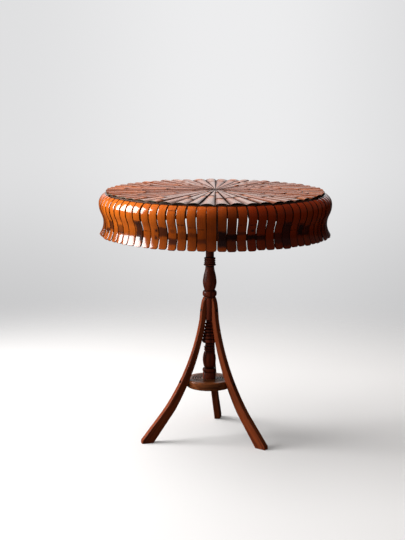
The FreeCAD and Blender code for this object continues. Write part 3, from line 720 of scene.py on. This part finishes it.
def strip_section(half):
    """Cross section of a strip: across, and out from its outer face."""
    crown = []
    for step in range(-6, 7):
        across = step / 6 * 0.93 * half
        crown.append((across, math.sqrt(STRIP_ROUND**2 - across**2) - STRIP_ROUND))
    low = crown[0][1]
    left = [(-half, -STRIP_THICKNESS), (-half, low - 1.3 * MM), (-0.98 * half, low - 0.4 * MM)]
    right = [(-across, out) for across, out in reversed(left)]
    inside = [(half * share, -STRIP_THICKNESS) for share in (0.5, 0, -0.5)]
    return left + crown + right + inside


def make_strips(material):
    """Bent bamboo strips with rounded lower corners, each a little different."""
    chance = random.Random(37)
    build = Builder()
    pitch = 2 * math.pi / STRIP_COUNT
    front_index = round((-math.pi / 2 - SKIRT_ANGLE) / pitch)
    for index in range(STRIP_COUNT):
        from_front = (index - front_index + STRIP_COUNT // 2) % STRIP_COUNT - STRIP_COUNT // 2
        angle = SKIRT_ANGLE + index * pitch + chance.uniform(-0.03, 0.03) * pitch
        out, side = direction(angle), direction(angle + math.pi / 2)
        half = STRIP_WIDTH / 2 * WIDER.get(from_front, chance.uniform(0.985, 1.03))
        push = chance.uniform(-0.3, 0.2) * MM
        lean = chance.uniform(-0.8, 0.8) * MM
        points = strip_path(chance.uniform(-1.6, 0.6) * MM)
        total = resample(points, [0])[1] - chance.uniform(0, 2.0) * MM
        straight = total - STRIP_CORNER
        lengths = [straight * step / STRIP_STEPS for step in range(STRIP_STEPS + 1)]
        lengths += [straight + STRIP_CORNER * math.sin(math.radians(turn)) for turn in CORNER_TURNS]
        found = resample(points, lengths)[0]
        # Tone differs at random from strip to strip. It is also painted lighter on the left, where
        # the window light falls, and darker towards the right as painted shade.
        tone = unit(unit((math.cos(angle) + 0.75) / 1.05) + chance.uniform(-0.12, 0.12))
        shade_share = DARKER.get(from_front, chance.uniform(0, 0.25))
        usual_node = chance.uniform(0.055, 0.1) if chance.random() < 0.35 else -1.0
        node_at = NODE_LINES.get(from_front, usual_node)
        patches = SCORCHED.get(from_front, [])
        if not patches and chance.random() < 0.35:
            at, reach = chance.uniform(0.08, 0.11), chance.uniform(0.002, 0.007)
            patches = [(at, reach, chance.uniform(0.3, 0.9), 0, 0.02)]
        patches = (patches + [NO_PATCH] * 2)[:2]
        rings = []
        for length, (point, tangent) in zip(lengths, found):
            normal = Vector((-tangent.y, tangent.x))
            if (normal.x if length > BENT_LENGTH else normal.y) < 0:
                normal = -normal
            to_corner = max(0, length - straight)
            narrow = STRIP_CORNER - math.sqrt(max(STRIP_CORNER**2 - to_corner**2, 0))
            spread = 1 + SPREAD_SHARE * unit((length - SPREAD_FROM) / SPREAD_LENGTH)
            ring = []
            for across, depth in strip_section(half * spread - narrow):
                place = point + normal * depth
                twist = lean * across / half * min(1, length / total)
                spot = out * (place.x + push + twist) + side * across + UP * place.y
                gaps = [
                    (max(abs(length - at) - reach, abs(across - off) - wide), dark)
                    for at, reach, dark, off, wide in patches
                ]
                ring.append(
                    build.add(
                        spot,
                        (across, depth, length + 0.7 * index),
                        tone=tone,
                        shade=shade_share,
                        length_down=length,
                        node_at=node_at,
                        first_gap=gaps[0][0],
                        first_dark=gaps[0][1],
                        second_gap=gaps[1][0],
                        second_dark=gaps[1][1],
                        edge=min(1, abs(across) / half / spread),
                    )
                )
            rings.append(ring)
        build.skin(rings)
    return build.piece("strips", material, "skirt_strips", "strip_bamboo", sharp_angle=28)


# Stand

def ring_profile(radius, top, height, depth, steps=8):
    """Side view of a rounded ring: from a groove over it, out and back to a groove under it."""
    points = []
    for step in range(steps + 1):
        turn = math.pi * step / steps
        out = math.sin(turn) ** 0.7 if 0 < step < steps else 0
        points.append((radius - depth + depth * out, top - height * (1 - math.cos(turn)) / 2))
    return points


def post_profile():
    """Half section of the turned post from the board down to the foot of its tenon."""
    neck = (board_low.z - 0.2 * MM, COLLAR_TOP + 5 * MM, COLLAR_TOP)
    points = [(NECK_RADIUS, z) for z in neck]
    for ring in range(COLLAR_RINGS):
        radius = COLLAR_FOOT_RADIUS if ring == COLLAR_RINGS - 1 else COLLAR_RADIUS
        top = COLLAR_TOP - ring * COLLAR_RING_HEIGHT - RING_GROOVE / 2
        points += ring_profile(radius, top, COLLAR_RING_HEIGHT - RING_GROOVE, RING_DEPTH)
    middle = BEAD_TOP + VASE_SWELL
    vase = [
        (VASE_TOP_RADIUS, COLLAR_BOTTOM),
        (VASE_TOP_RADIUS + 1.2 * MM, COLLAR_BOTTOM - 12 * MM),
        (VASE_RADIUS - 2.6 * MM, middle + 22 * MM),
        (VASE_RADIUS - 0.4 * MM, middle + 8 * MM),
        (VASE_RADIUS, middle),
        (VASE_RADIUS - 1.6 * MM, middle - 11 * MM),
        (VASE_FOOT_RADIUS, BEAD_TOP + 1.5 * MM),
        (VASE_FOOT_RADIUS - 0.8 * MM, BEAD_TOP),
    ]
    points += smooth_curve(vase, 5)
    points += ring_profile(BEAD_RADIUS, BEAD_TOP, BEAD_HEIGHT - 1 * MM, 5 * MM, 12)
    points.append((JOINT_RADIUS - 1 * MM, JOINT_TOP + 0.6 * MM))
    points += [(JOINT_RADIUS, JOINT_TOP - JOINT_LENGTH * step / 12) for step in range(13)]
    height = CONE_LENGTH / CONE_RINGS
    for ring in range(CONE_RINGS):
        share = ring / (CONE_RINGS - 1)
        radius = CONE_TOP_RADIUS + (CONE_FOOT_RADIUS - CONE_TOP_RADIUS) * share
        top = JOINT_BOTTOM - ring * height - RING_GROOVE / 2
        points += ring_profile(radius, top, height - RING_GROOVE, RING_DEPTH)
    points += ring_profile(LIP_RADIUS, CONE_BOTTOM, LIP_HEIGHT, 5.5 * MM, 12)
    waist = [
        (LIP_RADIUS - 6 * MM, LIP_BOTTOM),
        (POST_WAIST_RADIUS, LIP_BOTTOM - 2 * MM),
        (POST_WAIST_RADIUS, PAIR_TOP + 1.5 * MM),
        (PAIR_RADIUS - PAIR_DEPTH, PAIR_TOP),
    ]
    points += smooth_curve(waist, 4)
    for ring in range(2):
        top = PAIR_TOP - ring * PAIR_HEIGHT / 2 - RING_GROOVE / 2
        points += ring_profile(PAIR_RADIUS, top, PAIR_HEIGHT / 2 - RING_GROOVE, PAIR_DEPTH)
    half = LOWER_VASE_LENGTH / 2
    rise = LOWER_VASE_RADIUS - LOWER_VASE_END_RADIUS
    curve = (half**2 + rise**2) / (2 * rise)
    turn = math.asin(half / curve)
    points += arc(LOWER_VASE_RADIUS - curve, FOOT_RING_TOP + half, curve, turn, -turn, 16)
    points += ring_profile(FOOT_RING_RADIUS, FOOT_RING_TOP, FOOT_RING_HEIGHT, 3.2 * MM, 10)
    points += [
        (FOOT_RADIUS - 1.2 * MM, FOOT_RING_BOTTOM - 0.5 * MM),
        (FOOT_RADIUS, FOOT_RING_BOTTOM - 2 * MM),
        (FOOT_RADIUS, DISC_TOP),
        (TENON_RADIUS, DISC_TOP),
        (TENON_RADIUS, DISC_BOTTOM),
    ]
    return points


def turned_piece(build, profile, segments, flat, low, high, across_grain=False):
    """Turn a profile round the post's axis, with flats for the legs between two heights."""
    rings = []
    for radius, z in profile:
        # The hollow value is painted shade. The disc's top within the grooved radius is darkened,
        # and its grooves more. The post is darkened in its grooves and recesses, and the neck above
        # the collar is darkened under the board.
        if across_grain:
            grooved = min(1, max(GROOVED_SHADE, (DISC_TOP - z) / GROOVED_DEPTH))
            hollow = grooved if radius < GROOVED_RADIUS else 0.0
        else:
            near = max(other for other, level in profile if abs(level - z) < HOLLOW_REACH)
            sunk = min(1, (near - radius) / HOLLOW_DEPTH)
            hollow = sunk if z < COLLAR_TOP + 2 * MM else NECK_SHADE
        ring = []
        for segment in range(segments):
            spot = direction(2 * math.pi * segment / segments) * radius
            if low <= z <= high:
                for turn in LEG_ANGLES.values():
                    towards = direction(math.radians(turn))
                    past = spot.dot(towards) - flat
                    if past > 0:
                        spot = spot - towards * past
            flow = (spot.y, z, spot.x) if across_grain else (spot.x, spot.y, z)
            ring.append(build.add(POST_AXIS + spot + UP * z, flow, hollow=hollow))
        rings.append(ring)
    return rings


def make_post(material):
    """Turned post, with a flat behind each leg."""
    build = Builder()
    low, high = JOINT_BOTTOM - 0.1 * MM, JOINT_TOP + 0.1 * MM
    build.skin(turned_piece(build, post_profile(), 72, LEG_SEAT, low, high))
    return build.piece("post", material, "centre_post", "turned_wood", sharp_angle=50)


def make_disc(material):
    """Disc with turned grooves round the foot of the post and a rounded rim."""
    build = Builder()
    profile = [
        (DISC_BORE, DISC_BOTTOM),
        (DISC_RADIUS - DISC_CHAMFER, DISC_BOTTOM),
        (DISC_RADIUS, DISC_BOTTOM + DISC_CHAMFER),
        (DISC_RADIUS, DISC_BOTTOM + 5 * MM),
        (DISC_RADIUS, DISC_TOP - DISC_EDGE - 2 * MM),
    ]
    profile += arc(DISC_RADIUS - DISC_EDGE, DISC_TOP - DISC_EDGE, DISC_EDGE, 0, math.pi / 2, 8)
    for groove in GROOVE_RADII:
        for step in range(9):
            turn = math.pi * step / 8
            out, down = GROOVE_HALF_WIDTH * math.cos(turn), GROOVE_DEPTH * math.sin(turn)
            profile.append((groove + out, DISC_TOP - down))
    profile.append((DISC_BORE, DISC_TOP))
    rings = turned_piece(build, profile, 120, DISC_FLAT, 0, 1, across_grain=True)
    build.skin(rings + [rings[0]], cap_start=False, cap_end=False)
    return build.piece("disc", material, "stretcher_disc", "disc_wood", sharp_angle=50)


def arc_through(start, end, radius, side, steps):
    """Points of the smaller arc between two points; its centre is left (1) or right (-1)."""
    a, b = Vector(start), Vector(end)
    chord = b - a
    across = Vector((-chord.y, chord.x)).normalized()
    centre = (a + b) / 2 + across * side * math.sqrt(radius**2 - (chord.length / 2) ** 2)
    first = math.atan2(a.y - centre.y, a.x - centre.x)
    last = math.atan2(b.y - centre.y, b.x - centre.x)
    if last - first > math.pi:
        last -= 2 * math.pi
    if first - last > math.pi:
        last += 2 * math.pi
    return arc(centre.x, centre.y, radius, first, last, steps)


def leg_sides():
    """Outer and inner edge of a leg in side view, in pairs from the top down."""
    outer, inner = [], []
    for step in range(1, 9):
        turn = math.pi / 2 * (1 - step / 8)
        z = LEG_SHOULDER + LEG_TOP_DEPTH * math.sin(turn)
        outer.append((LEG_SEAT + LEG_TOP_DEPTH * math.cos(turn), z))
        inner.append((LEG_SEAT, z))
    for step in range(1, 17):
        share = step / 16
        z = LEG_SHOULDER + (JOINT_BOTTOM - LEG_SHOULDER) * share
        fuller = LEG_FULLNESS * math.sin(math.pi * share**0.6)
        outer.append((LEG_SEAT + LEG_TOP_DEPTH + (LEG_SHOULDER - z) * LEG_TAPER + fuller, z))
        inner.append((LEG_SEAT, z))
    outer_ankle, inner_ankle = (ANKLE_OUTER, ANKLE_HEIGHT), (ANKLE_INNER, ANKLE_HEIGHT)
    outer_joint, inner_joint = (LEG_FACE, JOINT_BOTTOM), (LEG_SEAT, JOINT_BOTTOM)
    outer += arc_through(outer_ankle, outer_joint, LEG_OUTER_CURVE, -1, 48)[::-1][1:]
    inner += arc_through(inner_joint, inner_ankle, LEG_INNER_CURVE, 1, 48)[1:]
    inner = [(max(x, DISC_FLAT) if DISC_BOTTOM < z < DISC_TOP else x, z) for x, z in inner]
    ankle, toe = Vector(outer_ankle), Vector((FOOT_REACH, TOE_HEIGHT))
    start = toe + (ankle - toe).normalized() * TOE_ROUND
    end = toe - Vector((0, TOE_ROUND))
    for step in range(1, 9):
        outer.append(tuple(ankle.lerp(start, step / 8)))
    for step in range(1, 5):
        share = step / 4
        outer.append(tuple(start.lerp(toe, share).lerp(toe.lerp(end, share), share)))
    outer.append((FOOT_REACH, 0))
    for share in LEG_HEEL_SHARES:
        reach = ANKLE_INNER + (HEEL_REACH - ANKLE_INNER) * share
        inner.append((reach, ANKLE_HEIGHT * (1 - share)))
    return outer, inner


def make_leg(name, turn, material, index):
    """Sabre leg with eased edges, notched for the disc."""
    build = Builder()
    towards = direction(math.radians(turn))
    side = direction(math.radians(turn) + math.pi / 2)
    half = LEG_WIDTH / 2
    corners = [(1, 1), (-1, 1), (-1, -1), (1, -1)]
    length = 0.0
    rings = []
    last = None
    for out_point, in_point in zip(*leg_sides()):
        a, b = Vector(out_point), Vector(in_point)
        centre = (a + b) / 2
        if last is not None:
            length += (centre - last).length
        last = centre
        across = (a - b).normalized()
        depth = (a - b).length / 2
        ease = min(LEG_EASE, depth * 0.7)
        ring = []
        for corner, (sx, sy) in enumerate(corners):
            for step in range(5):
                angle = math.pi / 2 * (corner + step / 4)
                u = sx * (half - ease) + ease * math.cos(angle)
                v = sy * (depth - ease) + ease * math.sin(angle)
                spot = centre + across * v
                point = POST_AXIS + towards * spot.x + side * u + UP * spot.y
                ring.append(build.add(point, (u, v, length + 2.3 * index), hollow=0.0))
        rings.append(ring)
    build.skin(rings)
    piece_name = name.replace("_leg", "_sabre_leg")
    return build.piece(piece_name, material, name, "leg_wood", sharp_angle=50)


def make_screws(material):
    """Domed slotted heads and their shanks, two to each leg."""
    build = Builder()
    upper = (LEG_SCREW_SEAT, LEG_SCREW_HEIGHT, LEG_SCREW_LENGTH, LEG_SCREW_RIM)
    lower = (DISC_SCREW_SEAT, DISC_SCREW_HEIGHT, DISC_SCREW_LENGTH, DISC_SCREW_RIM)
    for turn in LEG_ANGLES.values():
        towards = direction(math.radians(turn))
        side = direction(math.radians(turn) + math.pi / 2)
        for seat, height, length, rim in (upper, lower):
            profile = [(SCREW_SHANK_RADIUS, -length), (SCREW_SHANK_RADIUS, 0)]
            profile += [(SCREW_HEAD_RADIUS, 0), (SCREW_HEAD_RADIUS, rim)]
            for step in range(1, 7):
                rise = math.pi / 2 * step / 7
                out = rim + SCREW_DOME * math.sin(rise)
                profile.append((SCREW_HEAD_RADIUS * math.cos(rise), out))
            rings = []
            for radius, out in profile:
                ring = []
                for segment in range(24):
                    spin = 2 * math.pi * segment / 24
                    u, v = radius * math.cos(spin), radius * math.sin(spin)
                    in_slot = abs(v) < SCREW_SLOT_HALF_WIDTH and out > rim + 0.1 * MM
                    reach = seat + out - (SCREW_SLOT_DEPTH if in_slot else 0)
                    point = POST_AXIS + towards * reach + side * u + UP * (height + v)
                    ring.append(build.add(point, (u, v, out)))
                rings.append(ring)
            build.skin(rings)
    return build.piece("screws", material, "leg_screws", "screw_metal", sharp_angle=40)


# Build the table

wood = turned_wood("turned_wood", (122, 48, 25), (72, 26, 12), 0.4)
disc_wood = turned_wood("disc_wood", (126, 70, 36), (88, 43, 21), 0.3)
leg_wood = turned_wood("leg_wood", (138, 62, 27), (86, 34, 14), 0.34)
slats = make_slats(slat_bamboo())
make_strips(strip_bamboo())
make_post(wood)
make_disc(disc_wood)
for leg_index, (leg_name, leg_turn) in enumerate(LEG_ANGLES.items()):
    make_leg(leg_name, leg_turn, leg_wood, leg_index)
make_screws(screw_metal())

KEPT = {
    "top_board": hidden_wood("board_wood", (96, 60, 40), (66, 40, 28), (30, 420, 420)),
    "waist_hoop": hidden_wood("hoop_bamboo", (92, 46, 22), (58, 26, 14), (60, 60, 700)),
    "top_cleat": hidden_wood("cleat_wood", (110, 66, 42), (78, 44, 28), (25, 380, 380)),
    "post_block": hidden_wood("block_wood", (92, 46, 30), (62, 30, 20), (380, 380, 25)),
}
for node, material in KEPT.items():
    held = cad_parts[node]
    if held.material_slots:
        for place in held.material_slots:
            place.material = material
    else:
        held.data.materials.append(material)


# Floor, light and camera

def make_floor():
    """Pale floor that fades out at its rim."""
    work = bmesh.new()
    bmesh.ops.create_circle(work, cap_ends=True, segments=96, radius=FLOOR_RADIUS)
    mesh = bpy.data.meshes.new("floor")
    work.to_mesh(mesh)
    work.free()
    floor = bpy.data.objects.new("floor", mesh)
    bpy.context.scene.collection.objects.link(floor)
    g = Graph("floor_paper")
    place = g.place()
    cloud = g.noise(place, 1.3, detail=2)
    pale = g.mix(cloud, (212, 210, 209), (206, 204, 203))
    rays = g.nodes.new("ShaderNodeLightPath").outputs
    unseen = g.mix(rays["Is Glossy Ray"], (108, 104, 102), (26, 25, 24))
    g.finish(g.mix(rays["Is Camera Ray"], unseen, pale), 0.8, specular=0.1)
    g.put(g.shader.inputs["Emission Color"], pale)
    glow = g.math("MULTIPLY", rays["Is Camera Ray"], FLOOR_GLOW)
    g.put(g.shader.inputs["Emission Strength"], glow)
    clear = g.nodes.new("ShaderNodeBsdfTransparent")
    blend = g.nodes.new("ShaderNodeMixShader")
    length = g.nodes.new("ShaderNodeVectorMath")
    length.operation = "LENGTH"
    g.links.new(place, length.inputs[0])
    g.put(blend.inputs["Fac"], g.remap(length.outputs["Value"], *FLOOR_FADE))
    g.links.new(g.shader.outputs[0], blend.inputs[1])
    g.links.new(clear.outputs[0], blend.inputs[2])
    g.links.new(blend.outputs[0], g.nodes["Material Output"].inputs["Surface"])
    mesh.materials.append(g.material)


def make_world():
    """Pale surroundings for the camera, dimmer ones as light, a pale wall behind as reflection."""
    world = bpy.data.worlds.new("studio")
    bpy.context.scene.world = world
    world.use_nodes = True
    nodes, links = world.node_tree.nodes, world.node_tree.links
    coordinates = nodes.new("ShaderNodeTexCoord")
    parts = nodes.new("ShaderNodeSeparateXYZ")
    links.new(coordinates.outputs["Generated"], parts.inputs[0])
    rays = nodes.new("ShaderNodeLightPath")

    def ramp(axis, low, high, first, last):
        """A strength that changes along an axis."""
        node = nodes.new("ShaderNodeMapRange")
        node.interpolation_type = "SMOOTHSTEP"
        links.new(parts.outputs[axis], node.inputs["Value"])
        sockets = ("From Min", "From Max", "To Min", "To Max")
        for socket, number in zip(sockets, (low, high, first, last)):
            node.inputs[socket].default_value = number
        return node.outputs["Result"]

    def light(name, strengths, colour):
        """One background whose strength is the product of its ramps."""
        strength = strengths[0]
        for other in strengths[1:]:
            node = nodes.new("ShaderNodeMath")
            node.operation = "MULTIPLY"
            links.new(strength, node.inputs[0])
            links.new(other, node.inputs[1])
            strength = node.outputs[0]
        back = nodes.new("ShaderNodeBackground")
        back.name = name
        back.inputs["Color"].default_value = colour
        links.new(strength, back.inputs["Strength"])
        return back.outputs[0]

    def choose(ray, other, chosen):
        """One background for a kind of ray, another for the rest."""
        blend = nodes.new("ShaderNodeMixShader")
        links.new(rays.outputs[ray], blend.inputs["Fac"])
        links.new(other, blend.inputs[1])
        links.new(chosen, blend.inputs[2])
        return blend.outputs[0]

    fill = light("fill", [ramp("X", -0.8, 0.8, 0.42, 0.12)], (1.0, 0.985, 0.97, 1))
    wall = [ramp("Y", 0.88, 0.97, 0.02, 1), ramp("Z", 0.0, 0.17, 0.05, 1.2)]
    mirrored = light("mirrored", wall, (0.98, 0.98, 1.0, 1))
    height = ramp("Z", -0.218, -0.08, linear(214), linear(238))
    sides = [ramp("X", -0.17, 0.0, 0.88, 1), ramp("X", 0.03, 0.2, 1, 0.84)]
    seen = light("seen", [height, *sides], (0.99, 0.99, 1.0, 1))
    surface = choose("Is Camera Ray", choose("Is Glossy Ray", fill, mirrored), seen)
    links.new(surface, nodes["World Output"].inputs["Surface"])


def make_lamp(name, place, aim, width, height, power):
    """Rectangular lamp that faces its aim, with its power in watts."""
    lamp = bpy.data.lights.new(name, "AREA")
    lamp.shape = "RECTANGLE"
    lamp.size, lamp.size_y = width, height
    lamp.energy = power
    holder = bpy.data.objects.new(name, lamp)
    holder.location = place
    holder.rotation_euler = (Vector(aim) - Vector(place)).to_track_quat("-Z", "Y").to_euler()
    bpy.context.scene.collection.objects.link(holder)
    return holder


def light_only(lamp, piece, state):
    """Make a lamp light one piece alone, or all but that piece."""
    group = bpy.data.collections.new(f"{lamp.name}_receivers")
    group.objects.link(piece)
    lamp.light_linking.receiver_collection = group
    group.collection_objects[0].light_linking.link_state = state


def make_camera():
    """Camera at the photograph's viewing angle."""
    ahead = Vector((math.sin(CAMERA_YAW), math.cos(CAMERA_YAW), 0))
    forward = ahead * math.cos(CAMERA_PITCH) - UP * math.sin(CAMERA_PITCH)
    level = Vector((math.cos(CAMERA_YAW), -math.sin(CAMERA_YAW), 0))
    right = level * math.cos(CAMERA_ROLL) + level.cross(forward) * math.sin(CAMERA_ROLL)
    up = right.cross(forward)
    data = bpy.data.cameras.new("camera")
    data.sensor_width = CAMERA_SENSOR
    data.lens = CAMERA_LENS
    camera = bpy.data.objects.new("camera", data)
    turned = Matrix((right, up, -forward)).transposed().to_4x4()
    camera.matrix_world = Matrix.Translation(CAMERA_PLACE) @ turned
    bpy.context.scene.collection.objects.link(camera)
    bpy.context.scene.camera = camera


make_floor()
make_world()
light_only(make_lamp("window", *WINDOW), slats, "EXCLUDE")
soft_window = make_lamp("soft_window", *WINDOW)
soft_window.visible_glossy = False
light_only(soft_window, slats, "INCLUDE")
make_lamp("ceiling", *CEILING).visible_glossy = False
make_camera()
bpy.context.scene.view_settings.view_transform = "Standard"
